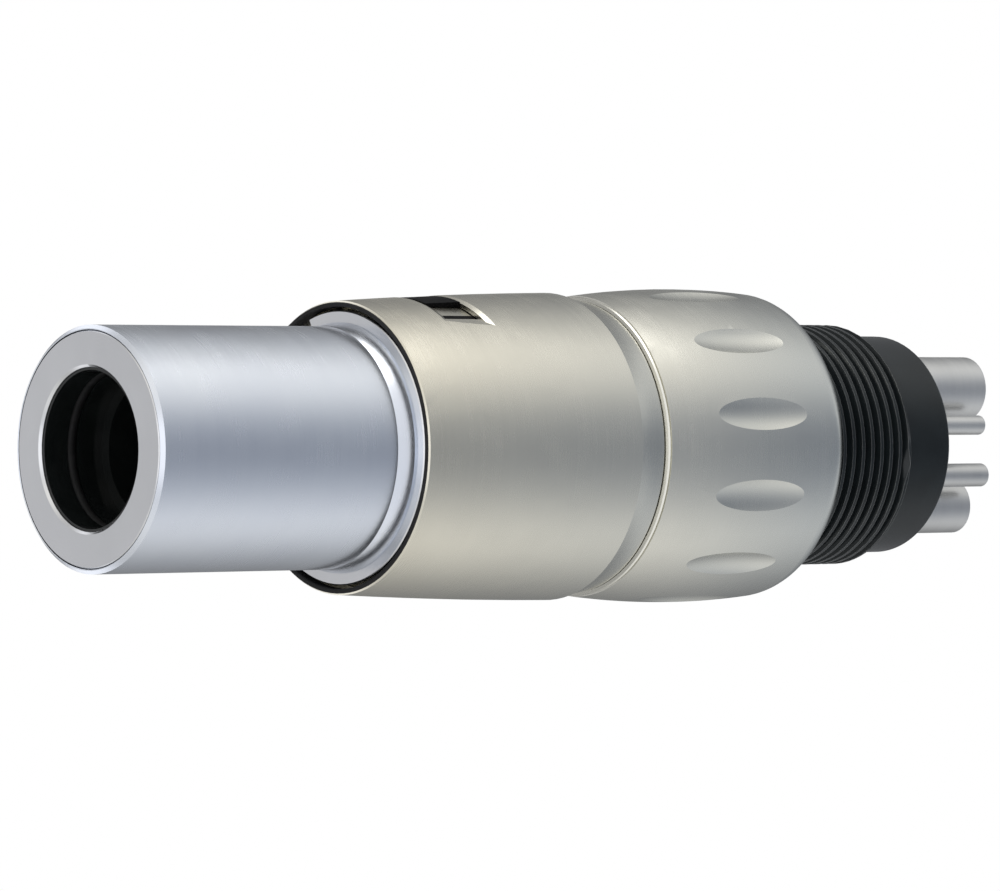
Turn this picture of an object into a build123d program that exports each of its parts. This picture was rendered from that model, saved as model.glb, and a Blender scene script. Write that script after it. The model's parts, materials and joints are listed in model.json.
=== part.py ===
"""Quick-release hose coupling for a high speed dental handpiece, with a light source and a water regulator.

The coupling lies along X. A handpiece pushes onto its front, at -X, and the hose screws onto its rear, at +X.
The origin is the centre of the rear end face, where the hose's gasket seats. +Z is up.
Lengths are in millimetres. An axial place is written as a distance behind the front face, and at() turns
that into X. Radii are measured from the X axis.
"""

from build123d import *
import os
from math import atan2, cos, degrees, hypot, radians, sin

# Outside shape
FRONT_TUBE_R = 6.5
FRONT_TUBE_FLARE_R = 6.72
NOSE_R = 6.2
NOSE_BORE_R = 4.3
NOSE_REAR = 1.0
BODY_FRONT = 16.44
BODY_FRONT_R = 7.88
BODY_MIDDLE_R = 8.23
BODY_REAR_R = 8.42
BODY_TAPER_START = 30.8
BODY_REAR = 32.6
BODY_END_R = 8.06
CUSHION_FRONT = 16.36
CUSHION_REAR = 17.0
CUSHION_INNER_R = 7.56
CUSHION_OUTER_R = 7.80
RABBET_R = 7.71  # step in the shell's front edge that holds the rubber ring
RING_FRONT = 32.72
RING_FRONT_R = 8.04
RING_EDGE_R = 8.27
RING_BARREL_R = 8.70
RING_SHOULDER = 44.6
RING_SHOULDER_R = 8.50
RING_REAR = 46.0
RING_REAR_R = 7.35
THREAD_START = 45.2
THREAD_END = 52.0
THREAD_MAJOR_R = 6.78
THREAD_MINOR_R = 6.36
THREAD_PITCH = 0.7
PILOT_START = 52.35
PILOT_R = 6.15
PILOT_EDGE = 0.25
OVERALL = 55.6

# Bore that takes the handpiece's nozzle
BORE_R = 4.15
BORE_STEPS = [(0.2, 4.15), (3.9, 3.5), (7.6, 2.8), (11.0, 2.2)]
BORE_END = 12.6
CARTRIDGE_REAR = 14.0
CARTRIDGE_R = 5.35
SEAL_PLACES = [(2.0, 4.15), (6.5, 3.5), (9.9, 2.8), (12.0, 2.2)]
SEAL_SECTION_R = 0.3
SEAL_PROUD = 0.07
LIGHT_R = 1.25
LIGHT_FRONT = BORE_END + 0.1
LIGHT_REAR = CARTRIDGE_REAR + 0.03
BOARD_R = 2.3
BOARD_POCKET = 0.9

# Release action: the outer shell slides back 1.2 along the core
GUIDE_RING_FRONT = 16.5
GUIDE_RING_REAR = 18.6
GUIDE_RING_R = 7.35
DRUM_R = 7.84
DRUM_FRONT_R = 7.6
DRUM_INNER_R = 7.2
DRUM_STEP = 20.0
DRUM_FRONT = GUIDE_RING_REAR + 0.05
SHELL_INNER_R = 7.89
SHELL_LIP_REAR = 18.3
SNAP_PLACE = 30.2
SPRING_WIRE_R = 0.26
SPRING_MEAN_R = 6.3
SPRING_TURNS = 5
COLLAR_FRONT = 27.0
COLLAR_REAR = 28.6
COLLAR_R = 7.14
FRICTION_FRONT = 27.5
FRICTION_REAR = 28.1
FRICTION_INNER_R = 6.76

SEAT_FRONT = GUIDE_RING_REAR + 0.9
SEAT_REAR = SEAT_FRONT + 1.4
LINK_PLACE = SEAT_FRONT + 0.7
LINK_PIN_R = 0.5
KEY_ANGLE = -27  # of the key that stops the shell turning, from the top towards -Y
KEY_HALF_WIDTH = 0.85

# Claws that hold the nozzle, and the fingers that open them
CLAW_PIVOT = 9.0
CLAW_PIVOT_Z = 4.6
CLAW_PIN_R = 0.3
CLAW_PIN_LENGTH = 3.8
CLAW_HALF_WIDTH = 1.2
SLOT_HALF_WIDTH = 1.35
CLAW_SPRING_PLACE = 11.2
CLAW_SPRING_FOOT = 2.87
CLAW_TAIL_FLOOR = 3.48
FINGER_LOW = 4.78
FINGER_HIGH = 5.2

# Water regulator
CAM_MEAN_R = 7.05
CAM_LIFT = 0.3
NEEDLE_PLACE = 38.5
NEEDLE_HEAD_R = 0.85
NEEDLE_STEM_R = 0.5
NEEDLE_TIP = 4.75
NEEDLE_TOP = CAM_MEAN_R - 0.02
NEEDLE_GROOVE = (5.05, 5.35)
NEEDLE_GROOVE_R = 0.3
CAM_HALF_SWING = 60.0
DIMPLE_COUNT = 12
DIMPLE_FIRST_ANGLE = 168.0
DIMPLE_CENTRE = 39.2
DIMPLE_LENGTH = 7.9
DIMPLE_WIDTH = 2.0
DIMPLE_DEPTH = 0.27

# Window in the shell that shows the regulator's setting: angles are from the top towards -Y
WINDOW_FRONT = 20.61
WINDOW_REAR = 23.0
WINDOW_LOW_ANGLE = -14.0
WINDOW_HIGH_ANGLE = 31.5
WINDOW_BEVEL = 0.3
WINDOW_BEVEL_ANGLE = 3.6
WINDOW_BEVEL_DEPTH = 0.09
INLAY_ANGLES = (-13.6, 16.8)
INLAY_FRONT_R = 8.08
INLAY_REAR_R = 8.18
MARK_ANGLES = (25.6, 28.5)
MARK_DEPTH = 0.12

# Hose tubes: y, z, outer radius, bore radius, rear end
TUBES = {
    "exhaust_tube": (-2.4, 3.15, 1.82, 1.5, 60.2),
    "drive_air_tube": (-1.4, -3.55, 1.53, 1.22, 60.2),
    "water_tube": (-3.8, -1.75, 0.66, 0.42, 60.2),
    "chip_air_tube": (-4.47, 1.1, 0.55, 0.35, 59.4),
}
TUBE_FRONT = 49.0
TUBE_SHANK = 0.04  # how much thicker a tube or pin is where it is pressed into its hole
TUBE_LEAD = 0.6  # length of the taper from that to its free end
# Passages through the core: radius of each, on a circle of this radius, at its tube's angle
PASSAGE_CIRCLE_R = 3.6
PASSAGE_R = {"exhaust_tube": 1.0, "drive_air_tube": 0.95, "water_tube": 0.45, "chip_air_tube": 0.4}
# Ducts in the seal cartridge: angle, radius, and the axial place of the port into the bore
DUCT_CIRCLE_R = 4.3
DUCTS = {
    "exhaust_tube": (136, 0.75, 5.0),
    "drive_air_tube": (235, 0.75, 8.6),
    "water_tube": (204.2, 0.4, 8.3),
    "chip_air_tube": (170, 0.4, 11.5),
}
CONTACT_Y = 1.7
CONTACT_Z = 1.0
CONTACT_R = 0.45
CONTACT_REAR = 59.2
CONTACT_FRONT = 50.0
INSULATOR_R = 0.7
INSULATOR_REAR = OVERALL + 0.3
LEAD_CHANNEL_R = 0.4

# Core and connector
CORE_FRONT_R = CARTRIDGE_R
CORE_R = 5.7
CORE_WAIST_R = 6.1
CORE_TAIL_R = 5.15
CORE_TAIL_START = 34.0
CORE_REAR = 36.6
CONNECTOR_FRONT = 34.1
SOCKET_FLOOR = 37.0
BOSS_R = 6.3
SCREW_PLACE = 35.3
SCREW_ANGLES = (45, 315)
SCREW_HOLE_R = 0.5
RUN = 0.05  # radial running clearance of parts that move in each other

# Non-return valve in the water passage
VALVE_BORE_R = 0.95
VALVE_BORE_FRONT = 30.6
VALVE_SEAT_FRONT = 35.5
VALVE_BALL_R = 0.6
VALVE_SEAT_BORE_R = 0.4


def at(place):
    """X of an axial place."""
    return place - OVERALL


def polar(angle, radius):
    """(y, z) at an angle from +Y towards +Z."""
    return radius * cos(radians(angle)), radius * sin(radians(angle))


def turned(start, *steps):
    """A solid of revolution about X. Each step is (place, radius), or a pair of these for an arc: middle and end."""
    def point(p):
        return (at(p[0]), 0, p[1])

    edges = []
    here = start
    for step in [*steps, start]:
        if isinstance(step[0], tuple):
            edges.append(ThreePointArc(point(here), point(step[0]), point(step[1])))
            here = step[1]
        elif step != here:
            edges.append(Line(point(here), point(step)))
            here = step
    return revolve(make_face(Curve() + edges), Axis.X, 360)


def ring(front, rear, inner, outer):
    """A plain ring."""
    return turned((front, inner), (front, outer), (rear, outer), (rear, inner))


def rod(front, rear, radius, y=0.0, z=0.0):
    """A cylinder along X."""
    place = Pos(at(front), y, z) * Rot(0, 90, 0)
    return place * Cylinder(radius, rear - front, align=(Align.CENTER, Align.CENTER, Align.MIN))


def radial_rod(place, angle, inner, outer, radius):
    """A cylinder that points away from the X axis, at an angle from +Y towards +Z."""
    turn = Rot(angle, 0, 0) * Pos(at(place), inner, 0) * Rot(-90, 0, 0)
    return turn * Cylinder(radius, outer - inner, align=(Align.CENTER, Align.CENTER, Align.MIN))


def block(front, rear, y0, y1, z0, z1):
    """A rectangular block."""
    low = (Align.MIN, Align.MIN, Align.MIN)
    return Pos(at(front), y0, z0) * Box(rear - front, y1 - y0, z1 - z0, align=low)


def o_ring(place, radius, section):
    """A rubber ring of round section."""
    return Pos(at(place), 0, 0) * Rot(0, 90, 0) * Torus(radius, section)


def coil(front, rear, mean, wire, turns, y=0.0, z=0.0):
    """A compression spring along X, of round wire."""
    height = rear - front - 2 * wire
    path = Helix(height / turns, height, mean)
    start = Plane(origin=path @ 0, z_dir=path % 0)
    spring = sweep(start * Circle(wire), path, is_frenet=True)
    return Pos(at(front + wire), y, z) * Rot(0, 90, 0) * spring


def tube_angle(name):
    """Angle of a hose tube, from +Y towards +Z."""
    y, z = TUBES[name][:2]
    return degrees(atan2(z, y))


# Casing -------------------------------------------------------------------------------------------------------


def front_tube():
    """Smooth tube that the handpiece's shell slides over, counterbored for the nose ring and flared at the rear."""
    chamfer = 0.2
    inner_edge = 0.03
    bore = NOSE_R + RUN
    flare_start = 15.44
    groove_half = 0.055
    groove = GUIDE_RING_FRONT - groove_half
    return turned(
        (inner_edge, bore), (0, bore + inner_edge), (0, FRONT_TUBE_R - chamfer), (chamfer, FRONT_TUBE_R),
        (flare_start, FRONT_TUBE_R), (groove - groove_half, FRONT_TUBE_FLARE_R),
        (groove, FRONT_TUBE_FLARE_R - 2 * groove_half), (GUIDE_RING_FRONT, FRONT_TUBE_FLARE_R),
        (GUIDE_RING_REAR, FRONT_TUBE_FLARE_R), (GUIDE_RING_REAR, CARTRIDGE_R + RUN),
        (NOSE_REAR, CARTRIDGE_R + RUN), (NOSE_REAR, bore),
    )


def nose_ring():
    """Flat ring in the tube's mouth that keeps the seal cartridge in."""
    bore_edge = 0.13
    rim_edge = 0.05
    return turned(
        (bore_edge, NOSE_BORE_R), (0, NOSE_BORE_R + bore_edge), (0, NOSE_R - rim_edge), (rim_edge, NOSE_R),
        (NOSE_REAR, NOSE_R), (NOSE_REAR, NOSE_BORE_R),
    )


def guide_ring():
    """Bright ring pressed round the front tube. Its slot guides the shell's key."""
    edge = 0.06
    slot_half = KEY_HALF_WIDTH + RUN
    slot_floor = FRONT_TUBE_FLARE_R + 0.13
    body = turned(
        (GUIDE_RING_FRONT, FRONT_TUBE_FLARE_R), (GUIDE_RING_FRONT, GUIDE_RING_R - edge),
        (GUIDE_RING_FRONT + edge, GUIDE_RING_R), (GUIDE_RING_REAR, GUIDE_RING_R),
        (GUIDE_RING_REAR, FRONT_TUBE_FLARE_R),
    )
    slot = block(GUIDE_RING_FRONT, GUIDE_RING_REAR, -slot_half, slot_half, slot_floor, GUIDE_RING_R + 1)
    return body - Rot(KEY_ANGLE, 0, 0) * slot


def window_cut():
    """Cutter for the setting window and the shallow bevel round it.

    It is the common part of a ring, which shapes the front and rear edges, and a bar along X, which shapes the
    other two.
    """
    front_r, rear_r = 8.0, 8.12  # where the bevel meets the window's front and rear walls
    side_r = 8.06
    low, high = 6.0, 9.5
    slope = WINDOW_BEVEL_DEPTH / WINDOW_BEVEL
    reach = 2 * WINDOW_BEVEL
    round_way = turned(
        (WINDOW_FRONT, low), (WINDOW_FRONT, front_r), (WINDOW_FRONT - reach, front_r + slope * reach),
        (WINDOW_FRONT - reach, high), (WINDOW_REAR + reach, high), (WINDOW_REAR + reach, rear_r + slope * reach),
        (WINDOW_REAR, rear_r), (WINDOW_REAR, low),
    )
    middle = (WINDOW_LOW_ANGLE + WINDOW_HIGH_ANGLE) / 2
    half = (WINDOW_HIGH_ANGLE - WINDOW_LOW_ANGLE) / 2
    inner_z, inner_y = polar(half, side_r)
    outer_z, outer_y = polar(half + WINDOW_BEVEL_ANGLE, side_r + WINDOW_BEVEL_DEPTH)
    far_y, far_z = 2 * outer_y - inner_y, 2 * outer_z - inner_z
    edge = [(inner_y, low), (inner_y, inner_z), (far_y, far_z), (far_y, high)]
    outline = edge + [(-y, z) for y, z in reversed(edge)]
    start = at(WINDOW_FRONT - 1)
    face = make_face(Polyline(*[(start, y, z) for y, z in outline], close=True))
    bar = extrude(face, WINDOW_REAR - WINDOW_FRONT + 2, dir=(1, 0, 0))
    return round_way & Rot(middle, 0, 0) * bar


def body_sleeve():
    """Outer shell that the fingers pull back to let the handpiece go. Its bore runs on the drum."""
    chamfer = 0.08
    snap_front, snap_rear, snap_r = SNAP_PLACE - 0.22, SNAP_PLACE + 0.22, 8.10
    step = DRUM_STEP - 0.05
    step_r = DRUM_FRONT_R + RUN
    cushion_seat = CUSHION_REAR + 0.02
    middle = (BODY_FRONT + BODY_TAPER_START) / 2
    shell = turned(
        (BODY_FRONT, RABBET_R), (BODY_FRONT, BODY_FRONT_R - chamfer), (BODY_FRONT + chamfer, BODY_FRONT_R),
        ((middle, BODY_MIDDLE_R), (BODY_TAPER_START, BODY_REAR_R)),
        ((BODY_TAPER_START + 0.7, BODY_REAR_R - 0.2), (BODY_REAR, BODY_END_R)),
        (BODY_REAR, SHELL_INNER_R), (snap_rear, SHELL_INNER_R), (snap_rear, snap_r), (snap_front, snap_r),
        (snap_front, SHELL_INNER_R), (step, SHELL_INNER_R), (step, step_r), (SHELL_LIP_REAR, step_r),
        (SHELL_LIP_REAR, CUSHION_INNER_R), (cushion_seat, CUSHION_INNER_R), (cushion_seat, RABBET_R),
    )
    key_low = FRONT_TUBE_FLARE_R + 0.2
    key_high = CUSHION_INNER_R + 0.02
    key = block(cushion_seat, SHELL_LIP_REAR, -KEY_HALF_WIDTH, KEY_HALF_WIDTH, key_low, key_high)
    return shell + Rot(KEY_ANGLE, 0, 0) * key - window_cut()


def front_cushion_ring():
    """Rubber ring on the shell's front edge, with a skirt that sits in the shell's rabbet."""
    skirt_r = RABBET_R - 0.01
    edge = 0.04
    return turned(
        (CUSHION_FRONT + edge, CUSHION_INNER_R), (CUSHION_FRONT, CUSHION_INNER_R + edge),
        (CUSHION_FRONT, CUSHION_OUTER_R - edge), (CUSHION_FRONT + edge, CUSHION_OUTER_R),
        (BODY_FRONT, CUSHION_OUTER_R), (BODY_FRONT, skirt_r), (CUSHION_REAR, skirt_r),
        (CUSHION_REAR, CUSHION_INNER_R),
    )


def dimple():
    """Spindle-shaped cutter for one finger scoop, along X, above the ring's barrel."""
    half = DIMPLE_LENGTH / 2
    reach = half + 1.2
    radius = (DIMPLE_WIDTH / 2) ** 2 / (2 * DIMPLE_DEPTH) + DIMPLE_DEPTH / 2
    end_r = radius - DIMPLE_DEPTH * (reach / half) ** 2
    axis_z = RING_BARREL_R - DIMPLE_DEPTH + radius

    def point(x, r):
        return (at(DIMPLE_CENTRE) + x, 0, axis_z - r)

    edges = [
        Line(point(-reach, 0), point(-reach, end_r)),
        ThreePointArc(point(-reach, end_r), point(0, radius), point(reach, end_r)),
        Line(point(reach, end_r), point(reach, 0)), Line(point(reach, 0), point(-reach, 0)),
    ]
    return revolve(make_face(Curve() + edges), Axis((0, 0, axis_z), (1, 0, 0)), 360)


def regulator_ring():
    """Barrel-shaped ring with finger scoops. Turning it sets the water. A fine line sets off its front edge."""
    bore_r = SHELL_INNER_R - 0.03
    bore_rear = 44.7
    rear_r = THREAD_MAJOR_R + 0.17
    bore_edge = 0.1
    line = RING_FRONT + 0.22
    half_line = 0.04
    middle = 39.8
    round_edge = 0.42
    shell = turned(
        (RING_FRONT, bore_r), (RING_FRONT, RING_FRONT_R), (RING_FRONT + 0.07, RING_EDGE_R - 0.08),
        (line - half_line, RING_EDGE_R - 0.04), (line, RING_EDGE_R - 0.15), (line + half_line, RING_EDGE_R),
        ((middle, RING_BARREL_R), (RING_SHOULDER, RING_SHOULDER_R)),
        ((RING_REAR - round_edge, RING_SHOULDER_R - round_edge), (RING_REAR, RING_REAR_R)),
        (RING_REAR, rear_r + bore_edge), (RING_REAR - bore_edge, rear_r), (bore_rear, rear_r), (bore_rear, bore_r),
    )
    scoop = dimple()
    for i in range(DIMPLE_COUNT):
        shell -= Rot(DIMPLE_FIRST_ANGLE + i * 360 / DIMPLE_COUNT - 90, 0, 0) * scoop
    return shell


# Regulator ------------------------------------------------------------------------------------------------------


def indicator_drum():
    """Thin drum that turns with the ring and carries the setting past the window. The spring pushes on its flange."""
    flange_rear = DRUM_FRONT + 0.8
    groove_front, groove_rear, groove_r = SNAP_PLACE - 0.2, SNAP_PLACE + 0.2, 7.66
    rear = 35.8
    drum = turned(
        (DRUM_FRONT, CORE_R + RUN), (DRUM_FRONT, DRUM_FRONT_R), (DRUM_STEP, DRUM_FRONT_R), (DRUM_STEP, DRUM_R),
        (groove_front, DRUM_R), (groove_front, groove_r), (groove_rear, groove_r), (groove_rear, DRUM_R),
        (rear, DRUM_R), (rear, DRUM_INNER_R), (flange_rear, DRUM_INNER_R), (flange_rear, CORE_R + RUN),
    )
    return drum - setting_mark()


def arc_strip(angles, *outline):
    """A solid with the given (place, radius) outline, swept between two angles from the top towards -Y."""
    start, end = angles
    face = make_face(Polyline(*[(at(place), 0, r) for place, r in outline], close=True))
    return revolve(Rot(start, 0, 0) * face, Axis.X, end - start)


def setting_inlay():
    """Black block that fills the far part of the shell's window, flush with the shell. The mark is read against it."""
    gap = 0.01
    front, rear, low = WINDOW_FRONT + gap, WINDOW_REAR - gap, SHELL_INNER_R + gap
    return arc_strip(INLAY_ANGLES, (front, low), (front, INLAY_FRONT_R), (rear, INLAY_REAR_R), (rear, low))


def setting_mark():
    """Black line of enamel in the drum, seen in the window. It moves as the water is set."""
    front, rear = WINDOW_FRONT - WINDOW_BEVEL, WINDOW_REAR + WINDOW_BEVEL
    low = DRUM_R - MARK_DEPTH
    return arc_strip(MARK_ANGLES, (front, low), (front, DRUM_R), (rear, DRUM_R), (rear, low))


def cam_ring():
    """Ring fixed in the regulator ring. Its spiral bore pushes the needle in or lets it out."""
    front, rear = 36.0, 41.5
    outer = SHELL_INNER_R - 0.03
    needle = tube_angle("water_tube")
    spiral_half = CAM_HALF_SWING + 16  # a little more than the swing, for the width of the needle's head
    slope = CAM_LIFT / CAM_HALF_SWING
    spans = 12

    def point(angle, r):
        return (at(front), *polar(needle + angle, r))

    angles = [-spiral_half + i * 2 * spiral_half / spans for i in range(spans + 1)]
    spiral = Spline(*[point(angle, CAM_MEAN_R + slope * angle) for angle in angles])
    back = ThreePointArc(spiral @ 1, point(180, CAM_MEAN_R), spiral @ 0)
    bore = extrude(make_face(Curve() + [spiral, back]), rear - front, dir=(1, 0, 0))
    return rod(front, rear, outer) - bore


def at_needle(shape):
    """Move what was drawn standing on the origin along +Z to the needle's place and angle."""
    return Rot(tube_angle("water_tube") - 90, 0, 0) * Pos(at(NEEDLE_PLACE), 0, 0) * shape


def regulator_needle():
    """Needle valve: a round head on the cam, a stem with a seal groove, and a cone that throttles the water."""
    head_height = 0.6
    head_edge = 0.3
    head_crown_r = 0.3
    cone_r, cone_length = 0.28, 0.55
    low, high = NEEDLE_GROOVE
    edges = Polyline(
        (0, 0, NEEDLE_TIP - cone_length), (cone_r, 0, NEEDLE_TIP), (NEEDLE_STEM_R, 0, NEEDLE_TIP),
        (NEEDLE_STEM_R, 0, low), (NEEDLE_GROOVE_R, 0, low), (NEEDLE_GROOVE_R, 0, high), (NEEDLE_STEM_R, 0, high),
        (NEEDLE_STEM_R, 0, NEEDLE_TOP - head_height), (NEEDLE_HEAD_R, 0, NEEDLE_TOP - head_height),
        (NEEDLE_HEAD_R, 0, NEEDLE_TOP - head_edge), (head_crown_r, 0, NEEDLE_TOP), (0, 0, NEEDLE_TOP), close=True,
    )
    return at_needle(revolve(make_face(edges), Axis.Z, 360))


def needle_seal():
    """Rubber ring in the needle's groove."""
    section = 0.12
    return at_needle(Pos(0, 0, sum(NEEDLE_GROOVE) / 2) * Torus(NEEDLE_GROOVE_R + section + 0.01, section))


# Core -----------------------------------------------------------------------------------------------------------


def passages(front, rear):
    """The four ways through the core and the two lead channels."""
    ways = []
    for name, radius in PASSAGE_R.items():
        y, z = polar(tube_angle(name), PASSAGE_CIRCLE_R)
        ways.append(rod(front, rear, radius, y, z))
    for z in (-CONTACT_Z, CONTACT_Z):
        ways.append(rod(front, rear, LEAD_CHANNEL_R, CONTACT_Y, z))
    return ways


def finger_grooves(front, rear):
    """The two grooves, above and below, that the release fingers slide in."""
    low, high = FINGER_LOW - 0.06, CORE_R + 0.5
    groove = block(front, rear, -SLOT_HALF_WIDTH, SLOT_HALF_WIDTH, low, high)
    return [groove, Rot(180, 0, 0) * groove]


def screw_holes():
    """The holes of the two grub screws, through the connector's boss and into the core's tail."""
    return [radial_rod(SCREW_PLACE, angle, 4.2, 7, SCREW_HOLE_R) for angle in SCREW_ANGLES]


def core_body():
    """Metal core that everything is built on, with the ways for air and water through it."""
    front = CARTRIDGE_REAR
    shoulder = DRUM_FRONT
    groove_front, groove_rear, groove_r = FRICTION_FRONT - 0.05, FRICTION_REAR + 0.05, FRICTION_INNER_R - 0.04
    body = turned(
        (front, 0), (front, CORE_FRONT_R), (shoulder, CORE_FRONT_R), (shoulder, CORE_R), (COLLAR_FRONT, CORE_R),
        (COLLAR_FRONT, COLLAR_R), (groove_front, COLLAR_R), (groove_front, groove_r), (groove_rear, groove_r),
        (groove_rear, COLLAR_R), (COLLAR_REAR, COLLAR_R), (COLLAR_REAR, CORE_WAIST_R),
        (CORE_TAIL_START, CORE_WAIST_R), (CORE_TAIL_START, CORE_TAIL_R), (CORE_REAR, CORE_TAIL_R), (CORE_REAR, 0),
    )
    cuts = [
        *passages(front, CORE_REAR),
        *finger_grooves(front, LINK_PLACE + 3.0),
        *screw_holes(),
        rod(VALVE_BORE_FRONT, CORE_REAR, VALVE_BORE_R, *valve_centre()),
        rod(front, front + BOARD_POCKET, BOARD_R + RUN),
    ]
    return body - cuts


def core_friction_ring():
    """Rubber ring in the core's collar. It rubs on the drum, so that the ring stays where it is set."""
    return ring(FRICTION_FRONT, FRICTION_REAR, FRICTION_INNER_R, DRUM_INNER_R - 0.02)


def connector_body():
    """Black hose connector: socket for the core, threaded part, and plain pilot that enters the hose."""
    relief_r = 6.02
    thread_lead = 0.45
    runout = 0.12
    edge = PILOT_EDGE
    arc_middle = edge * (1 - cos(radians(45)))
    blank = turned(
        (CONNECTOR_FRONT, CORE_TAIL_R + RUN), (CONNECTOR_FRONT, BOSS_R), (THREAD_START, BOSS_R),
        (THREAD_START + thread_lead, THREAD_MAJOR_R), (THREAD_END, THREAD_MAJOR_R),
        (THREAD_END + runout, THREAD_MINOR_R), (PILOT_START - 0.1, relief_r), (PILOT_START, PILOT_R),
        (OVERALL - edge, PILOT_R), ((OVERALL - arc_middle, PILOT_R - arc_middle), (OVERALL, PILOT_R - edge)),
        (OVERALL, 0), (SOCKET_FLOOR, 0), (SOCKET_FLOOR, CORE_TAIL_R + RUN),
    )
    cuts = [thread_groove(), *screw_holes()]
    for y, z, radius, bore, _ in TUBES.values():
        cuts.append(rod(SOCKET_FLOOR, TUBE_FRONT, bore, y, z))
        cuts.append(rod(TUBE_FRONT, OVERALL, radius + TUBE_SHANK, y, z))
    for z in (-CONTACT_Z, CONTACT_Z):
        cuts.append(rod(SOCKET_FLOOR, CONTACT_FRONT, LEAD_CHANNEL_R, CONTACT_Y, z))
        cuts.append(rod(CONTACT_FRONT, OVERALL, INSULATOR_R, CONTACT_Y, z))
    angle = tube_angle("water_tube")
    outside = BOSS_R + 1
    water_way, head_seat = 4.1, NEEDLE_TOP - 1.18
    cuts.append(radial_rod(NEEDLE_PLACE, angle, water_way, outside, NEEDLE_STEM_R + RUN))
    cuts.append(radial_rod(NEEDLE_PLACE, angle, head_seat, outside, NEEDLE_HEAD_R + 0.1))
    return blank - cuts


def thread_groove():
    """Helical V groove cut into the threaded part, running out at both ends."""
    height = THREAD_END - THREAD_START + 1.6
    outer = THREAD_MAJOR_R + 0.12
    half_top = THREAD_PITCH / 2 - 0.05
    half_root = 0.04
    path = Helix(THREAD_PITCH, height, outer)
    section = make_face(Polyline(
        (outer, 0, -half_top), (outer, 0, half_top), (THREAD_MINOR_R, 0, half_root), (THREAD_MINOR_R, 0, -half_root),
        close=True,
    ))
    groove = sweep(section, path, is_frenet=True)
    return Pos(at(THREAD_START - 0.5), 0, 0) * Rot(0, 90, 0) * groove


def pressed_rod(front, shoulder, rear, radius, edge):
    """A rod with a thicker shank that is pressed in, a taper that ends at the shoulder, and a round free end."""
    arc_middle = edge * (1 - cos(radians(45)))
    return turned(
        (front, 0), (front, radius + TUBE_SHANK), (shoulder - TUBE_LEAD, radius + TUBE_SHANK), (shoulder, radius),
        (rear - edge, radius), ((rear - arc_middle, radius - arc_middle), (rear, radius - edge)), (rear, 0),
    )


def hose_tube(name):
    """One metal tube that the hose's gasket slips over, pressed into the connector."""
    y, z, radius, bore, rear = TUBES[name]
    tube = Pos(0, y, z) * pressed_rod(TUBE_FRONT, OVERALL, rear, radius, 0.12)
    return tube - rod(TUBE_FRONT, rear, bore, y, z)


def manifold_gasket():
    """Rubber disc between the core and the connector, with a hole for each way."""
    holes = []
    for name, radius in PASSAGE_R.items():
        y, z = polar(tube_angle(name), (PASSAGE_CIRCLE_R + hypot(*TUBES[name][:2])) / 2)
        holes.append(rod(CORE_REAR, SOCKET_FLOOR, radius, y, z))
    for z in (-CONTACT_Z, CONTACT_Z):
        holes.append(rod(CORE_REAR, SOCKET_FLOOR, LEAD_CHANNEL_R, CONTACT_Y, z))
    return rod(CORE_REAR, SOCKET_FLOOR, CORE_TAIL_R) - holes


def core_screws():
    """Two grub screws that lock the connector to the core."""
    inner, outer = 4.25, 6.2
    hexagon_depth = 0.45
    hexagon = extrude(RegularPolygon(0.25, 6), hexagon_depth + 1)
    screws = []
    for angle in SCREW_ANGLES:
        socket = Rot(angle, 0, 0) * Pos(at(SCREW_PLACE), outer - hexagon_depth, 0) * Rot(-90, 0, 0) * hexagon
        screws.append(radial_rod(SCREW_PLACE, angle, inner, outer, SCREW_HOLE_R - 0.02) - socket)
    return screws


# Seals and light ------------------------------------------------------------------------------------------------


def seal_cartridge():
    """Black stepped sleeve that seals on the handpiece's nozzle, with slots for the claws."""
    nose_r = NOSE_BORE_R - 0.02
    lip = NOSE_REAR + 0.02
    light_bore_r = LIGHT_R + RUN
    steps = []
    for (front, radius), (rear, _) in zip(reversed(BORE_STEPS), [(BORE_END, 0), *reversed(BORE_STEPS)]):
        steps += [(rear, radius), (front, radius)]
    body = turned(
        (BORE_STEPS[0][0], nose_r), (lip, nose_r), (lip, CARTRIDGE_R), (CARTRIDGE_REAR, CARTRIDGE_R),
        (CARTRIDGE_REAR, light_bore_r), (BORE_END, light_bore_r), *steps,
    )
    cuts = []
    for place, radius in SEAL_PLACES:
        half = SEAL_SECTION_R + 0.03
        seal_outer = radius - SEAL_PROUD + 2 * SEAL_SECTION_R
        cuts.append(ring(place - half, place + half, radius - 0.2, seal_outer + 0.02))
    for angle, radius, port in DUCTS.values():
        cuts.append(rod(port, CARTRIDGE_REAR, radius, *polar(angle, DUCT_CIRCLE_R)))
        cuts.append(radial_rod(port, angle, 1.8, DUCT_CIRCLE_R, min(radius, 0.6)))
    cutters = claw_slot()
    return body - [*cuts, *cutters, *[Rot(180, 0, 0) * cutter for cutter in cutters]]


def claw_slot():
    """Cutters of the upper claw's slot: hook, arm, tail, finger, pivot and spring."""
    outside = CARTRIDGE_R + 0.15
    w = SLOT_HALF_WIDTH
    pivot = Pos(at(CLAW_PIVOT), 0, CLAW_PIVOT_Z) * Rot(90, 0, 0)
    spring_well = Cylinder(0.6, 0.7)
    return [
        block(2.6, 3.9, -w, w, 3.6, outside),
        block(3.8, 9.5, -w, w, 4.2, outside),
        block(9.4, 13.4, -w, w, CLAW_TAIL_FLOOR, outside),
        block(13.3, CARTRIDGE_REAR, -w, w, FINGER_LOW - 0.06, outside),
        pivot * Cylinder(CLAW_PIN_R, CLAW_PIN_LENGTH),
        Pos(at(CLAW_SPRING_PLACE), 0, CLAW_SPRING_FOOT + 0.35) * spring_well,
    ]


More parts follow.
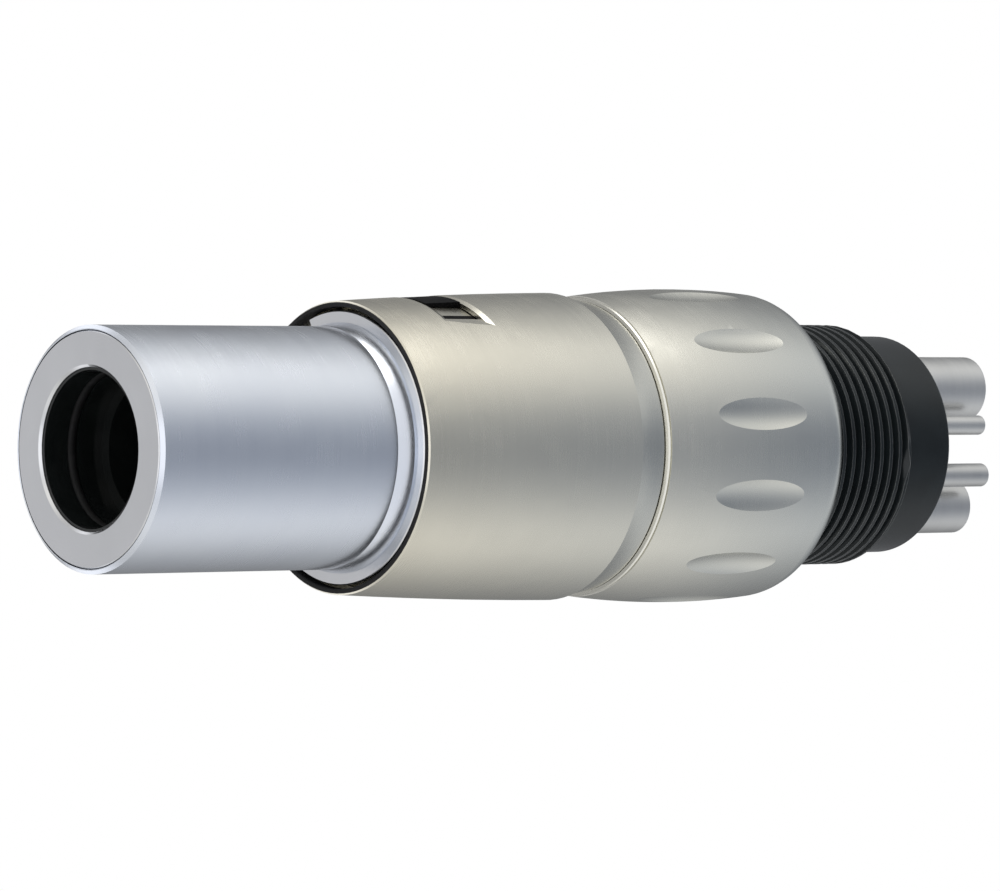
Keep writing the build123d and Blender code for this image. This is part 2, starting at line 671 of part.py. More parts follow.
def bore_seal(index):
    """One rubber ring in the cartridge's bore."""
    place, radius = SEAL_PLACES[index]
    return o_ring(place, radius - SEAL_PROUD + SEAL_SECTION_R, SEAL_SECTION_R)


def light_board():
    """Round board behind the light, in a pocket of the core."""
    return rod(LIGHT_REAR, CARTRIDGE_REAR + BOARD_POCKET - 0.1, BOARD_R)


def light_body():
    """Ceramic body of the light, in the end wall of the bore."""
    return rod(LIGHT_FRONT, LIGHT_REAR, LIGHT_R)


def light_lens():
    """Domed lens of the light."""
    dome = 0.55
    radius = 1.05
    return turned(
        (LIGHT_FRONT - dome, 0), ((LIGHT_FRONT - dome + 0.13, 0.62), (LIGHT_FRONT, radius)), (LIGHT_FRONT, 0),
    )


def light_leads():
    """Two stiff leads from the board to the contact pins."""
    front = CARTRIDGE_REAR + BOARD_POCKET - 0.1
    return [rod(front, CONTACT_FRONT, 0.25, CONTACT_Y, z) for z in (-CONTACT_Z, CONTACT_Z)]


def contact_pins():
    """Two contact pins that plug into the hose."""
    pin = pressed_rod(CONTACT_FRONT, INSULATOR_REAR, CONTACT_REAR, CONTACT_R, 0.3)
    return [Pos(0, CONTACT_Y, z) * pin for z in (-CONTACT_Z, CONTACT_Z)]


def pin_insulators():
    """Plastic sleeves round the contact pins."""
    sleeves = []
    for z in (-CONTACT_Z, CONTACT_Z):
        sleeve = rod(CONTACT_FRONT, INSULATOR_REAR, INSULATOR_R, CONTACT_Y, z)
        sleeves.append(sleeve - rod(CONTACT_FRONT, INSULATOR_REAR, CONTACT_R + TUBE_SHANK, CONTACT_Y, z))
    return sleeves


# Non-return valve -------------------------------------------------------------------------------------------------


def valve_centre():
    """(y, z) of the water passage through the core."""
    return polar(tube_angle("water_tube"), PASSAGE_CIRCLE_R)


def valve_seat():
    """Ring pressed into the water passage. The ball closes its bore."""
    y, z = valve_centre()
    outside = rod(VALVE_SEAT_FRONT, CORE_REAR, VALVE_BORE_R, y, z)
    return outside - rod(VALVE_SEAT_FRONT, CORE_REAR, VALVE_SEAT_BORE_R, y, z)


def valve_ball():
    """Ball of the non-return valve, just clear of its seat's edge."""
    offset = (VALVE_BALL_R**2 - VALVE_SEAT_BORE_R**2) ** 0.5 + 0.01
    return Pos(at(VALVE_SEAT_FRONT - offset), *valve_centre()) * Sphere(VALVE_BALL_R)


def valve_spring():
    """Light spring that holds the ball on its seat."""
    rear, mean, wire, turns = 34.52, 0.5, 0.1, 6
    return coil(VALVE_BORE_FRONT + 0.02, rear, mean, wire, turns, *valve_centre())


# Release action ---------------------------------------------------------------------------------------------------


def spring_seat_ring():
    """Ring between the spring and the drum's flange. The link pins tie the fingers to it."""
    seat = ring(SEAT_FRONT, SEAT_REAR, CORE_R + RUN, DRUM_INNER_R - RUN)
    return seat - link_pins()


def link_pins():
    """Two pins that tie the fingers to the spring seat."""
    low, high = FINGER_LOW + 0.02, DRUM_INNER_R - 0.12
    middle = (low + high) / 2
    return [Pos(at(LINK_PLACE), 0, side * middle) * Cylinder(LINK_PIN_R, high - low) for side in (-1, 1)]


def release_finger(side):
    """Strip in a groove of the core. Its foot rides on a claw's tail."""
    w = CLAW_HALF_WIDTH
    foot_front, foot_rear, foot_low = 10.5, 11.3, 4.36
    strip = block(foot_front, LINK_PLACE + 1.2, -w, w, FINGER_LOW, FINGER_HIGH)
    foot = block(foot_front, foot_rear, -w, w, foot_low, FINGER_LOW + 0.1)
    hole = Pos(at(LINK_PLACE), 0, FINGER_HIGH) * Cylinder(LINK_PIN_R, 2)
    finger = strip + foot - hole
    return finger if side > 0 else Rot(180, 0, 0) * finger


def release_spring():
    """Spring that pushes the shell forward, between the seat ring and the core's collar."""
    return coil(SEAT_REAR + 0.02, COLLAR_FRONT - 0.02, SPRING_MEAN_R, SPRING_WIRE_R, SPRING_TURNS)


def snap_ring():
    """Split ring that ties the drum to the shell and lets it turn."""
    half, inner, outer = 0.17, 7.69, 8.07
    gap_half = 0.8
    gap = block(SNAP_PLACE - 2 * half, SNAP_PLACE + 2 * half, -gap_half, gap_half, -outer - 1, -inner + 1)
    return ring(SNAP_PLACE - half, SNAP_PLACE + half, inner, outer) - gap


def lock_claw(side):
    """Rocking claw: a hook in front that holds the nozzle's groove, and a tail that the finger's foot presses."""
    outline = [
        (2.9, 3.7), (3.6, 3.7), (3.75, 4.3), (9.5, 4.3), (9.9, 3.9), (12.8, 3.85), (12.8, 4.6), (12.6, 4.6),
        (11.2, 4.28), (10.1, 4.28), (9.6, 5.0), (8.5, 5.1), (2.9, 4.62),
    ]
    face = make_face(Polyline(*[(at(place), 0, z) for place, z in outline], close=True))
    claw = extrude(face, CLAW_HALF_WIDTH, dir=(0, 1, 0), both=True)
    claw -= Pos(at(CLAW_PIVOT), 0, CLAW_PIVOT_Z) * Rot(90, 0, 0) * Cylinder(CLAW_PIN_R + 0.02, 4)
    return claw if side > 0 else Rot(180, 0, 0) * claw


def claw_pins():
    """Pivot pins of the two claws."""
    pin = Rot(90, 0, 0) * Cylinder(CLAW_PIN_R, CLAW_PIN_LENGTH)
    return [Pos(at(CLAW_PIVOT), 0, side * CLAW_PIVOT_Z) * pin for side in (-1, 1)]


def claw_springs():
    """A small spring under each claw's tail."""
    wire, mean, pitch, height = 0.07, 0.42, 0.2, 0.8
    path = Helix(pitch, height, mean)
    start = Plane(origin=path @ 0, z_dir=path % 0)
    wound = sweep(start * Circle(wire), path, is_frenet=True)
    spring = Pos(at(CLAW_SPRING_PLACE), 0, CLAW_SPRING_FOOT + wire) * wound
    return [spring, Rot(180, 0, 0) * spring]


PARTS = {
    "front_tube": front_tube(),
    "nose_ring": nose_ring(),
    "guide_ring": guide_ring(),
    "body_sleeve": body_sleeve(),
    "front_cushion_ring": front_cushion_ring(),
    "regulator_ring": regulator_ring(),
    "indicator_drum": indicator_drum(),
    "setting_inlay": setting_inlay(),
    "setting_mark": setting_mark(),
    "cam_ring": cam_ring(),
    "regulator_needle": regulator_needle(),
    "needle_seal": needle_seal(),
    "core_body": core_body(),
    "core_friction_ring": core_friction_ring(),
    "connector_body": connector_body(),
    "manifold_gasket": manifold_gasket(),
    "core_screws": core_screws(),
    "seal_cartridge": seal_cartridge(),
    "light_board": light_board(),
    "light_body": light_body(),
    "light_lens": light_lens(),
    "light_leads": light_leads(),
    "contact_pins": contact_pins(),
    "pin_insulators": pin_insulators(),
    "valve_seat": valve_seat(),
    "valve_ball": valve_ball(),
    "valve_spring": valve_spring(),
    "spring_seat_ring": spring_seat_ring(),
    "link_pins": link_pins(),
    "release_finger_upper": release_finger(1),
    "release_finger_lower": release_finger(-1),
    "release_spring": release_spring(),
    "snap_ring": snap_ring(),
    "lock_claw_upper": lock_claw(1),
    "lock_claw_lower": lock_claw(-1),
    "claw_pins": claw_pins(),
    "claw_springs": claw_springs(),
    **{name: hose_tube(name) for name in TUBES},
    **{f"bore_seal_{i + 1}": bore_seal(i) for i in range(len(SEAL_PLACES))},
}

os.makedirs("parts", exist_ok=True)
for name, shape in PARTS.items():
    whole = Compound(children=list(shape)) if isinstance(shape, (list, ShapeList)) else shape
    export_step(whole, f"parts/{name}.step")
    print(name, round(sum(solid.volume for solid in whole.solids()), 3))
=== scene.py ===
import json
import math

import bpy
from mathutils import Matrix, Vector


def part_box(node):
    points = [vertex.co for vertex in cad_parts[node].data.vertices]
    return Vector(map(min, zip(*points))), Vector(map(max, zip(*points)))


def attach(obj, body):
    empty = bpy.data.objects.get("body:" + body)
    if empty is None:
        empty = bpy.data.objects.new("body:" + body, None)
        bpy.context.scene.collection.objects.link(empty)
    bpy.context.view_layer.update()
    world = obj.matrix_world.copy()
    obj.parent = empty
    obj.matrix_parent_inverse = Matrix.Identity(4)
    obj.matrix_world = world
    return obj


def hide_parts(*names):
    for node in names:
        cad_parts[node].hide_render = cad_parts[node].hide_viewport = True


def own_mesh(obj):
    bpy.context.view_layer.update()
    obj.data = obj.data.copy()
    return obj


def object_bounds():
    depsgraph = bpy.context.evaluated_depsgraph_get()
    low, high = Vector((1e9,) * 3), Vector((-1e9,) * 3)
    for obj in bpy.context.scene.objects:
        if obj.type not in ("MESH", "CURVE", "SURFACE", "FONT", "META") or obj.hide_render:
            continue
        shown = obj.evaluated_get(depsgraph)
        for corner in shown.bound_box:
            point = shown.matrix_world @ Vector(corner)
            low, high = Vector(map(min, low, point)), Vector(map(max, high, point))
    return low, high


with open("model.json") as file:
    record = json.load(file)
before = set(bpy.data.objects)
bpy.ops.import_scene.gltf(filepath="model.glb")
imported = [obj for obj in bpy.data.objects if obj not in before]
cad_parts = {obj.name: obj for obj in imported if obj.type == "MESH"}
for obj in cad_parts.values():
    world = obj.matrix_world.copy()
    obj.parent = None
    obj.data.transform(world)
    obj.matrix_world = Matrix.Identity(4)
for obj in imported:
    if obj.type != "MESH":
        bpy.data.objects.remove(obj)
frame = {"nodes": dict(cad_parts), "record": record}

CAD_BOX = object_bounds()
MM = 0.001

# Camera and light ------------------------------------------------------------------------------------------------

CAMERA_AZIMUTH = 39.43  # degrees that the camera looks round from +Y towards +X
CAMERA_HEIGHT_ANGLE = 0.46
CAMERA_DISTANCE = 356.0 * MM  # along the view, from the front face's centre
FRONT_FACE_LEFT = 21.41 * MM  # where that centre stands in the view, from the middle
FRONT_FACE_BELOW = 0.21 * MM
CAMERA_LENS = 246.7
SENSOR = 36.0
CLIP_START = 0.01
CLIP_END = 20.0

LIGHT_TARGET = Vector((-25 * MM, 0, 0))
LIGHT_DIRECTION = Vector((0.1, -0.1, 1.0))  # from the target to the light
LIGHT_DISTANCE = 0.5
LIGHT_SIDE = 0.4
LIGHT_POWER = 0.9
LIGHT_COLOUR = (1.0, 0.985, 0.96)

FLOOR_DROP = 32.0 * MM  # below the coupling's axis
FLOOR_RADIUS = 90.0 * MM
FLOOR_SIDES = 96
FLOOR_WHITE = (0.93, 0.93, 0.93)
FLOOR_ROUGHNESS = 0.9

# What the object reflects, by the angle round the X axis from -Y upwards: (degrees, brightness, blueness)
ROOM_BANDS = [
    (-180, 0.20, 0.3), (-150, 0.25, 0.3), (-118, 0.42, 0.3), (-92, 0.68, 0.2), (-70, 0.82, 0.2), (-45, 0.58, 0.5),
    (-22, 0.38, 0.9), (-4, 0.30, 1.0), (14, 0.35, 0.9), (32, 0.50, 0.5), (52, 0.80, 0.1), (76, 0.90, 0.0),
    (96, 0.63, 0.1), (122, 0.38, 0.3), (150, 0.21, 0.3), (180, 0.18, 0.3),
]
ROOM_BLUE = (0.90, 0.97, 1.12)
ROOM_NEAR_TINT = (1.13, 1.11, 1.06)  # of what is reflected towards the front, warmer and brighter
ROOM_FAR_TINT = (0.76, 0.78, 0.80)
TINT_CHANGE = (0.5, 0.78)  # X of a direction, where the near tint ends and where the far tint is full
ROOM_FRONT = 0.58  # brightness of what the front face reflects
ROOM_PANEL = 1.12  # of the bright panels that whiten the front edges
PANEL_GREY = (1, 1, 1.02)
STRIP_LIMITS = (0.34, 0.12)  # X of a direction, where the panel round the X axis begins and where it is full
FACE_DIRECTION = (-0.635, 0.7725, 0)  # what the front face reflects towards the camera
FACE_LIMITS = (0.78, 0.93)  # cosine of the angle from it, where its patch begins and where it is full
CHAMFER_DIRECTION = (-0.77, -0.635, 0)  # what the front tube's chamfer reflects towards the camera
CHAMFER_LIMITS = (0.86, 0.96)


def add_aimed(name, data, place, side, up, back):
    """Puts a camera or a light in the scene. It looks away from back."""
    thing = bpy.data.objects.new(name, data)
    thing.matrix_world = Matrix.Translation(place) @ Matrix((side, up, back)).transposed().to_4x4()
    bpy.context.scene.collection.objects.link(thing)
    return thing


def add_camera():
    azimuth = math.radians(CAMERA_AZIMUTH)
    height = math.radians(CAMERA_HEIGHT_ANGLE)
    level = Vector((math.sin(azimuth), math.cos(azimuth), 0))
    forward = level * math.cos(height) - Vector((0, 0, math.sin(height)))
    right = level.cross(Vector((0, 0, 1)))
    up = right.cross(forward)
    front_face = Vector((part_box("front_tube")[0][0], 0, 0))
    place = front_face + right * FRONT_FACE_LEFT + up * FRONT_FACE_BELOW - forward * CAMERA_DISTANCE
    data = bpy.data.cameras.new("camera")
    data.lens = CAMERA_LENS
    data.sensor_width = SENSOR
    data.clip_start = CLIP_START
    data.clip_end = CLIP_END
    bpy.context.scene.camera = add_aimed("camera", data, place, right, up, -forward)


def add_upper_light():
    """A square soft light that faces the coupling from above."""
    data = bpy.data.lights.new("upper_light", "AREA")
    data.shape = "RECTANGLE"
    data.size = LIGHT_SIDE
    data.size_y = LIGHT_SIDE
    data.energy = LIGHT_POWER
    data.color = LIGHT_COLOUR
    back = LIGHT_DIRECTION.normalized()
    side = (Vector((1, 0, 0)) - back * back.x).normalized()
    lamp = add_aimed("upper_light", data, LIGHT_TARGET + back * LIGHT_DISTANCE, side, back.cross(side), back)
    lamp.visible_camera = False


class Tree:
    """A node tree, with short calls for the nodes used here. A colour is (red, green, blue)."""

    def __init__(self, tree):
        self.tree = tree

    def new(self, kind, **settings):
        node = self.tree.nodes.new("ShaderNode" + kind)
        for name, value in settings.items():
            setattr(node, name, value)
        return node

    def feed(self, socket, value):
        """Gives a socket a number, a vector, a colour or another node's output."""
        if isinstance(value, bpy.types.NodeSocket):
            self.tree.links.new(value, socket)
        elif socket.type == "RGBA":
            socket.default_value = (*value, 1)
        else:
            socket.default_value = value

    def joined(self, node, *values):
        """Feeds a node's inputs, in order."""
        for socket, value in zip(node.inputs, values):
            self.feed(socket, value)
        return node

    def split(self, vector):
        return self.joined(self.new("SeparateXYZ"), vector).outputs

    def math(self, operation, *values):
        return self.joined(self.new("Math", operation=operation), *values).outputs[0]

    def scaled(self, vector, scale):
        return self.joined(self.new("VectorMath", operation="MULTIPLY"), vector, scale).outputs[0]

    def dot(self, first, second):
        return self.joined(self.new("VectorMath", operation="DOT_PRODUCT"), first, second).outputs["Value"]

    def spread(self, value, low, high, from_low=0.3, from_high=0.7, curve="LINEAR"):
        """Maps one range of values onto another, and stops at its ends. Most noise lies between 0.3 and 0.7."""
        node = self.new("MapRange", interpolation_type=curve)
        return self.joined(node, value, from_low, from_high, low, high).outputs[0]

    def ease(self, value, limits):
        """0 at the first limit, 1 at the second, and smooth between them."""
        return self.spread(value, 0, 1, *limits, curve="SMOOTHSTEP")

    def mix(self, factor, first, second, kind="MIX"):
        node = self.new("Mix", data_type="RGBA", blend_type=kind)
        for place, value in ((0, factor), (6, first), (7, second)):  # where this node keeps its colours
            self.feed(node.inputs[place], value)
        return node.outputs[2]

    def ramp(self, value, stops):
        """Smooth colours through (place, colour) pairs, in order."""
        node = self.new("ValToRGB")
        node.color_ramp.interpolation = "B_SPLINE"
        elements = node.color_ramp.elements
        while len(elements) < len(stops):
            elements.new(0.5)
        for element, (place, colour) in zip(elements, stops):
            element.position = place
            element.color = (*colour, 1)
        self.feed(node.inputs["Fac"], value)
        return node.outputs["Color"]


def panel_colour(brightness):
    return tuple(brightness * c for c in PANEL_GREY)


def add_world():
    """White behind the object. What the object reflects is a room with soft bands of light along the X axis."""
    world = bpy.data.worlds.new("studio")
    world.use_nodes = True
    bpy.context.scene.world = world
    world.node_tree.nodes.clear()
    t = Tree(world.node_tree)
    direction = t.new("TexCoord").outputs["Generated"]
    x, y, z = t.split(direction)
    stops = []
    for degrees, bright, blue in ROOM_BANDS:
        colour = tuple(bright * (1 + (c - 1) * blue) for c in ROOM_BLUE)
        stops.append(((degrees + 180) / 360, colour))
    angle = t.math("ARCTAN2", z, t.math("MULTIPLY", y, -1))
    bands = t.ramp(t.spread(angle, 0, 1, -math.pi, math.pi), stops)
    tint = t.mix(t.spread(x, 0, 1, *TINT_CHANGE), ROOM_NEAR_TINT, ROOM_FAR_TINT)
    colour = t.mix(1, bands, tint, "MULTIPLY")
    for nearness, limits, brightness in (
        (t.math("ABSOLUTE", x), STRIP_LIMITS, ROOM_PANEL),
        (t.dot(direction, FACE_DIRECTION), FACE_LIMITS, ROOM_FRONT),
        (t.dot(direction, CHAMFER_DIRECTION), CHAMFER_LIMITS, ROOM_PANEL),
    ):
        colour = t.mix(t.ease(nearness, limits), colour, panel_colour(brightness))
    room = t.joined(t.new("Background"), colour).outputs[0]
    white = t.joined(t.new("Background"), (1, 1, 1)).outputs[0]
    seen_directly = t.new("LightPath").outputs["Is Camera Ray"]
    t.joined(t.new("OutputWorld"), t.joined(t.new("MixShader"), seen_directly, room, white).outputs[0])


def add_floor():
    """A pale disc. The metal doesn't mirror it, so the lower side shows the room's soft bands too."""
    middle = 0.5 * (CAD_BOX[0][0] + CAD_BOX[1][0])
    mesh = bpy.data.meshes.new("floor")
    corners = []
    for i in range(FLOOR_SIDES):
        angle = math.tau * i / FLOOR_SIDES
        corners.append((middle + FLOOR_RADIUS * math.cos(angle), FLOOR_RADIUS * math.sin(angle), -FLOOR_DROP))
    mesh.from_pydata(corners, [], [tuple(range(FLOOR_SIDES))])
    floor = bpy.data.objects.new("floor", mesh)
    bpy.context.scene.collection.objects.link(floor)
    finish = Finish("floor_white")
    finish.set(Base_Color=FLOOR_WHITE, Roughness=FLOOR_ROUGHNESS)
    mesh.materials.append(finish.material)
    floor.visible_glossy = False


# Materials -------------------------------------------------------------------------------------------------------

COLOUR_CHANGE = (-40, -12)  # along the coupling, in mm, where the satin finish turns from warm to neutral
FINE_STRETCH = 0.05  # of the noise round the coupling. Along it, it is the number of lines.
COARSE_LINES = 0.16  # for each fine line
COARSE_STRETCH = 0.03
LINES_IN_COLOUR = 0.2  # share of the fine lines, and the rest is cloudy patches
FINE_IN_BUMP = 0.7  # share of the fine lines, and the rest is coarse ones
METAL_TONES = (0.36, 0.64)  # values of the noise that give the shade and the full colour
METAL_LINE_DEPTH = 0.00002  # bump, in mm, as the other depths
METAL_ANISOTROPY = 0.35
METAL_UNEVENNESS = 0.02  # of the roughness, from the fine lines
METAL_SMUDGES = 0.024  # of the roughness, from handling
# Lightened edges of the dark oxide metal: partly polished wear, partly a painted glint on the thread crests
WEAR_AND_GLINT_WIDTH = 0.06  # of an edge lightened partly by polished wear and partly as a painted glint, in mm
WEAR_AND_GLINT_SAMPLES = 4
WEAR_AND_GLINT_SHARE = 0.6
WEAR_AND_GLINT_EDGE = (0.8, 0.98)  # cosine between the rounded and the true surface, on a sharp edge and on a flat one
OXIDE_DEPTH = 0.002
OXIDE_METALLIC = 0.35
OXIDE_UNEVENNESS = 0.06
RUBBER_DEPTH = 0.004
RUBBER_SHINE = 0.4
RUBBER_UNEVENNESS = 0.08
PLASTIC_DEPTH = 0.0012
PLASTIC_UNEVENNESS = 0.05


class Finish(Tree):
    """A material's node tree. Places and lengths are the coupling's own, in mm."""

    def __init__(self, name):
        self.material = bpy.data.materials.new(name)
        self.material.use_nodes = True
        super().__init__(self.material.node_tree)
        self.shader = self.tree.nodes["Principled BSDF"]
        self.place = self.scaled(self.new("TexCoord").outputs["Object"], (1 / MM, 1 / MM, 1 / MM))

    def noise(self, scale, detail, rough=0.5, stretch=(1, 1, 1)):
        node = self.new("TexNoise")
        values = {"Scale": scale, "Detail": detail, "Roughness": rough, "Vector": self.scaled(self.place, stretch)}
        for name, value in values.items():
            self.feed(node.inputs[name], value)
        return node.outputs["Fac"]

    def shared(self, first, share, second):
        """The first value for its share, and the second for the rest."""
        parts = self.math("MULTIPLY", first, share), self.math("MULTIPLY", second, 1 - share)
        return self.math("ADD", *parts)

    def edge_wear_and_glint(self, width):
        """1 on sharp outer edges, 0 elsewhere: where the edges get their wear and their painted glint."""
        bevel = self.joined(self.new("Bevel", samples=WEAR_AND_GLINT_SAMPLES), width * MM).outputs[0]
        flatness = self.dot(bevel, self.new("NewGeometry").outputs["Normal"])
        return self.spread(flatness, 1, 0, *WEAR_AND_GLINT_EDGE)

    def bump(self, height, depth):
        node = self.new("Bump")
        for name, value in (("Strength", 1.0), ("Distance", depth * MM), ("Height", height)):
            self.feed(node.inputs[name], value)
        self.set(Normal=node.outputs[0])

    def set(self, **values):
        """Feeds the shader's inputs by their names, with _ for a space."""
        for name, value in values.items():
            self.feed(self.shader.inputs[name.replace("_", " ")], value)


def turned_metal(name, colour, shade, roughness, lines=14.0, rear_colour=None):
    """Metal turned on a lathe: fine lines run round the X axis, with faint cloudy patches and handling marks."""
    f = Finish(name)
    if rear_colour:
        toward_rear = f.spread(f.split(f.place)["X"], 0, 1, *COLOUR_CHANGE)
        colour, shade = f.mix(toward_rear, colour, rear_colour), f.mix(toward_rear, shade, rear_colour)
    fine = f.noise(scale=1.0, detail=1.5, stretch=(lines, FINE_STRETCH, FINE_STRETCH))
    coarse = f.noise(scale=1.0, detail=2, stretch=(lines * COARSE_LINES, COARSE_STRETCH, COARSE_STRETCH))
    cloudy = f.noise(scale=0.22, detail=3)
    smudge = f.noise(scale=0.5, detail=2)
    tone = f.spread(f.shared(fine, LINES_IN_COLOUR, cloudy), 0, 1, *METAL_TONES)
    uneven = f.spread(fine, -METAL_UNEVENNESS, METAL_UNEVENNESS)
    smudged = f.spread(smudge, -METAL_SMUDGES, METAL_SMUDGES)
    f.set(Base_Color=f.mix(tone, shade, colour), Metallic=1.0, Anisotropic=METAL_ANISOTROPY)
    f.set(Roughness=f.math("ADD", f.math("ADD", uneven, smudged), roughness))
    f.set(Tangent=f.new("Tangent", direction_type="RADIAL", axis="X").outputs[0])
    f.bump(f.shared(fine, FINE_IN_BUMP, coarse), METAL_LINE_DEPTH)
    return f.material


def coated_metal(name, colour, wear_and_glint_colour, roughness):
    """Dark oxide finish, lighter along its sharp edges, such as the thread crests: partly polished wear, partly a
    painted glint.
    """
    f = Finish(name)
    grain = f.noise(scale=6.0, detail=4, rough=0.6)
    cloudy = f.noise(scale=0.5, detail=3)
    base = f.mix(f.spread(cloudy, 0, 1), colour, tuple(1.5 * c for c in colour))
    # Painted glint: the sharp edges are lightened past wear alone, to stand in for the highlights on the thread
    # crests
    wear_and_glint_mask = f.math("MULTIPLY", f.edge_wear_and_glint(WEAR_AND_GLINT_WIDTH), WEAR_AND_GLINT_SHARE)
    f.set(Base_Color=f.mix(wear_and_glint_mask, base, wear_and_glint_colour), Metallic=OXIDE_METALLIC)
    uneven = f.spread(grain, -OXIDE_UNEVENNESS, OXIDE_UNEVENNESS)
    f.set(Roughness=f.math("ADD", uneven, roughness))
    f.bump(grain, OXIDE_DEPTH)
    return f.material


def soft_rubber(name, colour, roughness):
    """Moulded rubber with a fine matt grain."""
    f = Finish(name)
    grain = f.noise(scale=9.0, detail=5, rough=0.7)
    dust = f.noise(scale=1.1, detail=4, rough=0.6)
    dusty = tuple(1.8 * c + 0.004 for c in colour)
    f.set(Base_Color=f.mix(f.spread(dust, 0, 1, 0.45, 0.75), colour, dusty))
    f.set(Roughness=f.spread(grain, roughness - RUBBER_UNEVENNESS, roughness + RUBBER_UNEVENNESS))
    f.set(Specular_IOR_Level=RUBBER_SHINE)
    f.bump(grain, RUBBER_DEPTH)
    return f.material


def moulded_plastic(name, colour, roughness, ior=1.5):
    """Plastic, enamel or ceramic, with a faint uneven gloss."""
    f = Finish(name)
    grain = f.noise(scale=5.0, detail=4, rough=0.6)
    cloudy = f.noise(scale=0.6, detail=3)
    lighter = tuple(min(1, 1.25 * c + 0.003) for c in colour)
    f.set(Base_Color=f.mix(f.spread(cloudy, 0, 1), colour, lighter))
    f.set(Roughness=f.spread(grain, roughness - PLASTIC_UNEVENNESS, roughness + PLASTIC_UNEVENNESS), IOR=ior)
    f.bump(grain, PLASTIC_DEPTH)
    return f.material


def clear_lens(name, colour):
    """Clear plastic with a faint haze."""
    f = Finish(name)
    haze = f.noise(scale=3.0, detail=3)
    f.set(Base_Color=colour, Roughness=f.spread(haze, 0.04, 0.14), IOR=1.5, Transmission_Weight=0.8)
    return f.material


# One finish for each slot in the record: its function, and what that takes after the name
FINISHES = {
    "bright_tube": (turned_metal, (0.84, 0.88, 0.95), (0.80, 0.84, 0.92), 0.25, 9),
    "satin_metal": (turned_metal, (0.81, 0.775, 0.665), (0.77, 0.735, 0.63), 0.26, 14, (0.72, 0.725, 0.685)),
    "polished_metal": (turned_metal, (0.80, 0.81, 0.83), (0.74, 0.75, 0.77), 0.24, 6),
    "core_metal": (turned_metal, (0.66, 0.66, 0.65), (0.58, 0.58, 0.57), 0.32),
    "tube_metal": (turned_metal, (0.74, 0.74, 0.73), (0.66, 0.66, 0.65), 0.34, 5),
    "spring_steel": (turned_metal, (0.6, 0.6, 0.62), (0.5, 0.5, 0.52), 0.3),
    "brass": (turned_metal, (0.78, 0.6, 0.3), (0.7, 0.52, 0.25), 0.3),
    "contact_gold": (turned_metal, (0.88, 0.66, 0.3), (0.8, 0.58, 0.25), 0.22, 8),
    # For black_metal the second colour is that of its sharp edges: partly polished wear, partly a painted glint
    "black_metal": (coated_metal, (0.009, 0.012, 0.0135), (0.34, 0.35, 0.35), 0.17),
    "black_liner": (moulded_plastic, (0.006, 0.0075, 0.0075), 0.16),
    "rubber": (soft_rubber, (0.005, 0.005, 0.0055), 0.7),
    "enamel": (moulded_plastic, (0.002, 0.002, 0.0025), 0.45, 1.12),
    "insulator": (moulded_plastic, (0.05, 0.05, 0.055), 0.5),
    "ceramic": (moulded_plastic, (0.8, 0.79, 0.74), 0.35),
    "board": (moulded_plastic, (0.02, 0.12, 0.05), 0.4),
    "lens": (clear_lens, (0.95, 0.95, 0.86)),
}


def paint_nodes(materials):
    """Gives each CAD node the material of its slot."""
    slots = {row["node"]: row["material_slot"] for row in frame["record"]["subparts"]}
    for name, obj in frame["nodes"].items():
        obj.data.materials.clear()
        obj.data.materials.append(materials[slots[name]])


# Springs ---------------------------------------------------------------------------------------------------------

# Lengths are in mm. A travel is how much the spring gets shorter at the joint's limit.
RELEASE_WIRE = 0.26
RELEASE_TURNS = 5
RELEASE_TRAVEL = 1.25
VALVE_WIRE = 0.1
VALVE_TURNS = 6
VALVE_TRAVEL = 0.65
CLAW_WIRE = 0.07
CLAW_TURNS = 4
CLAW_TRAVEL = 0.24
CLAW_HEIGHT = 0.94
STEPS_PER_TURN = 40
WIRE_SIDES = 14


def add_coil(name, foot, up, height, mean, wire, turns):
    """A spring of round wire, wound round the line that leaves foot along up. Lengths are in mm."""
    steps = STEPS_PER_TURN * turns
    side = Vector((0, 1, 0))
    across = up.cross(side)
    corners, faces = [], []
    for i in range(steps + 1):
        turn = math.tau * turns * i / steps
        out = side * math.cos(turn) + across * math.sin(turn)
        middle = foot + up * (wire + (height - 2 * wire) * i / steps) + out * mean
        for k in range(WIRE_SIDES):
            angle = math.tau * k / WIRE_SIDES
            corners.append((middle + (out * math.cos(angle) + up * math.sin(angle)) * wire) * MM)
    for i in range(steps):
        for k in range(WIRE_SIDES):
            here, beside = i * WIRE_SIDES + k, i * WIRE_SIDES + (k + 1) % WIRE_SIDES
            faces.append((here, here + WIRE_SIDES, beside + WIRE_SIDES, beside))
    last = steps * WIRE_SIDES
    faces += [tuple(range(WIRE_SIDES)), tuple(reversed(range(last, last + WIRE_SIDES)))]
    mesh = bpy.data.meshes.new(name)
    mesh.from_pydata(corners, [], faces)
    for face in mesh.polygons:
        face.use_smooth = len(face.vertices) == 4
    coil = bpy.data.objects.new(name, mesh)
    bpy.context.scene.collection.objects.link(coil)
    return coil


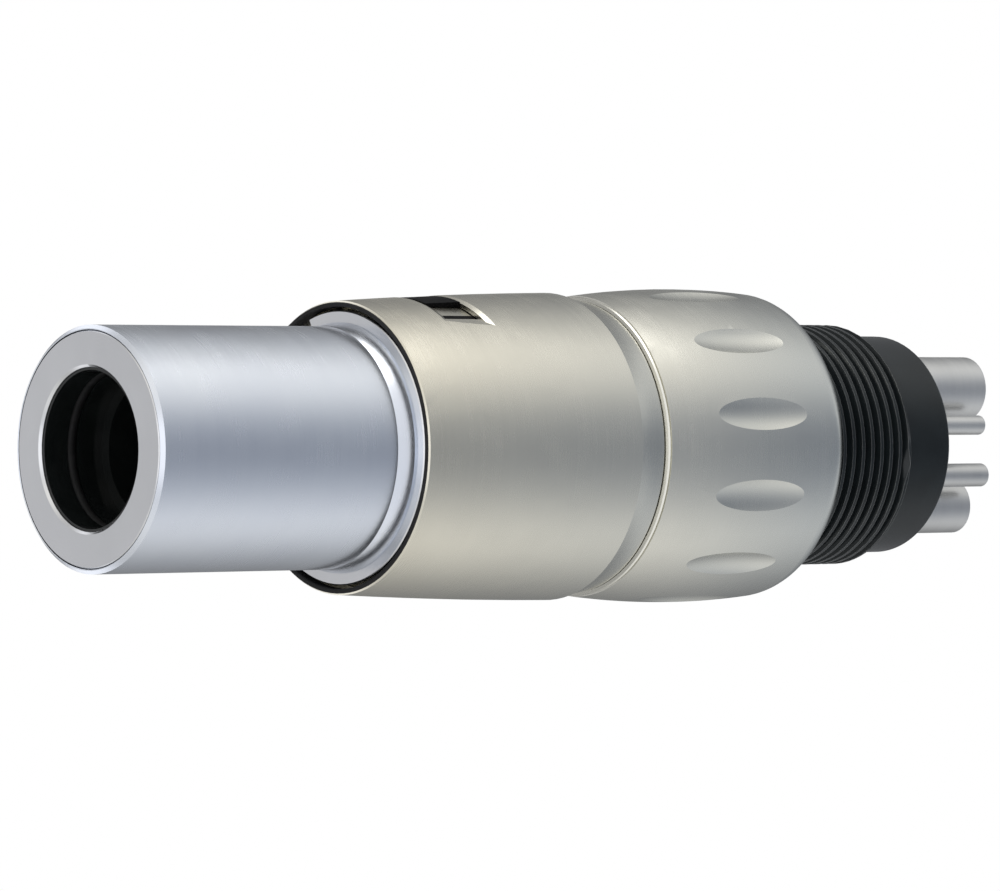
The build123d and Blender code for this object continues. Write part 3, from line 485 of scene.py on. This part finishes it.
def add_springs(material):
    """The springs, each wound again as a coil of round wire that stands in for its CAD node and rides on the
    coupling's core.
    """
    forward, up, down = Vector((1, 0, 0)), Vector((0, 0, 1)), Vector((0, 0, -1))
    low, high = (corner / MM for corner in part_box("release_spring"))
    release_foot, release_height = Vector((high.x, 0, 0)), high.x - low.x
    release_mean = high.z - RELEASE_WIRE
    low, high = (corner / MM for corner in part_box("valve_spring"))
    valve_foot, valve_height = Vector((low.x, 0.5 * (low.y + high.y), 0.5 * (low.z + high.z))), high.x - low.x
    valve_mean = 0.5 * (high.z - low.z) - VALVE_WIRE
    low, high = (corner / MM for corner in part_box("claw_springs"))
    claw_middle = 0.5 * (low.x + high.x)
    upper_foot, lower_foot = high.z - CLAW_HEIGHT, low.z + CLAW_HEIGHT
    claw_mean = 0.5 * (high.x - low.x) - CLAW_WIRE
    rows = [  # name, node, foot, direction, height, mean radius, wire, turns, joint, travel
        ("release_coil", "release_spring", release_foot, -forward, release_height, release_mean,
         RELEASE_WIRE, RELEASE_TURNS, "release_slide", RELEASE_TRAVEL),
        ("valve_coil", "valve_spring", valve_foot, forward, valve_height, valve_mean,
         VALVE_WIRE, VALVE_TURNS, "valve_lift", VALVE_TRAVEL),
        ("claw_coil_upper", "claw_springs", Vector((claw_middle, 0, upper_foot)), up, CLAW_HEIGHT, claw_mean,
         CLAW_WIRE, CLAW_TURNS, "release_slide", CLAW_TRAVEL),
        ("claw_coil_lower", "claw_springs", Vector((claw_middle, 0, lower_foot)), down, CLAW_HEIGHT, claw_mean,
         CLAW_WIRE, CLAW_TURNS, "release_slide", CLAW_TRAVEL),
    ]
    for name, node, foot, direction, height, mean, wire, turns, joint, travel in rows:
        coil = add_coil(name, foot, direction, height, mean, wire, turns)
        coil.data.materials.append(material)
        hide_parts(node)
        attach(coil, "coupling_core")
        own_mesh(coil)


add_camera()
add_world()
add_upper_light()
add_floor()
materials = {slot: kind(slot, *values) for slot, (kind, *values) in FINISHES.items()}
paint_nodes(materials)
add_springs(materials["spring_steel"])
bpy.context.scene.view_settings.view_transform = "Standard"
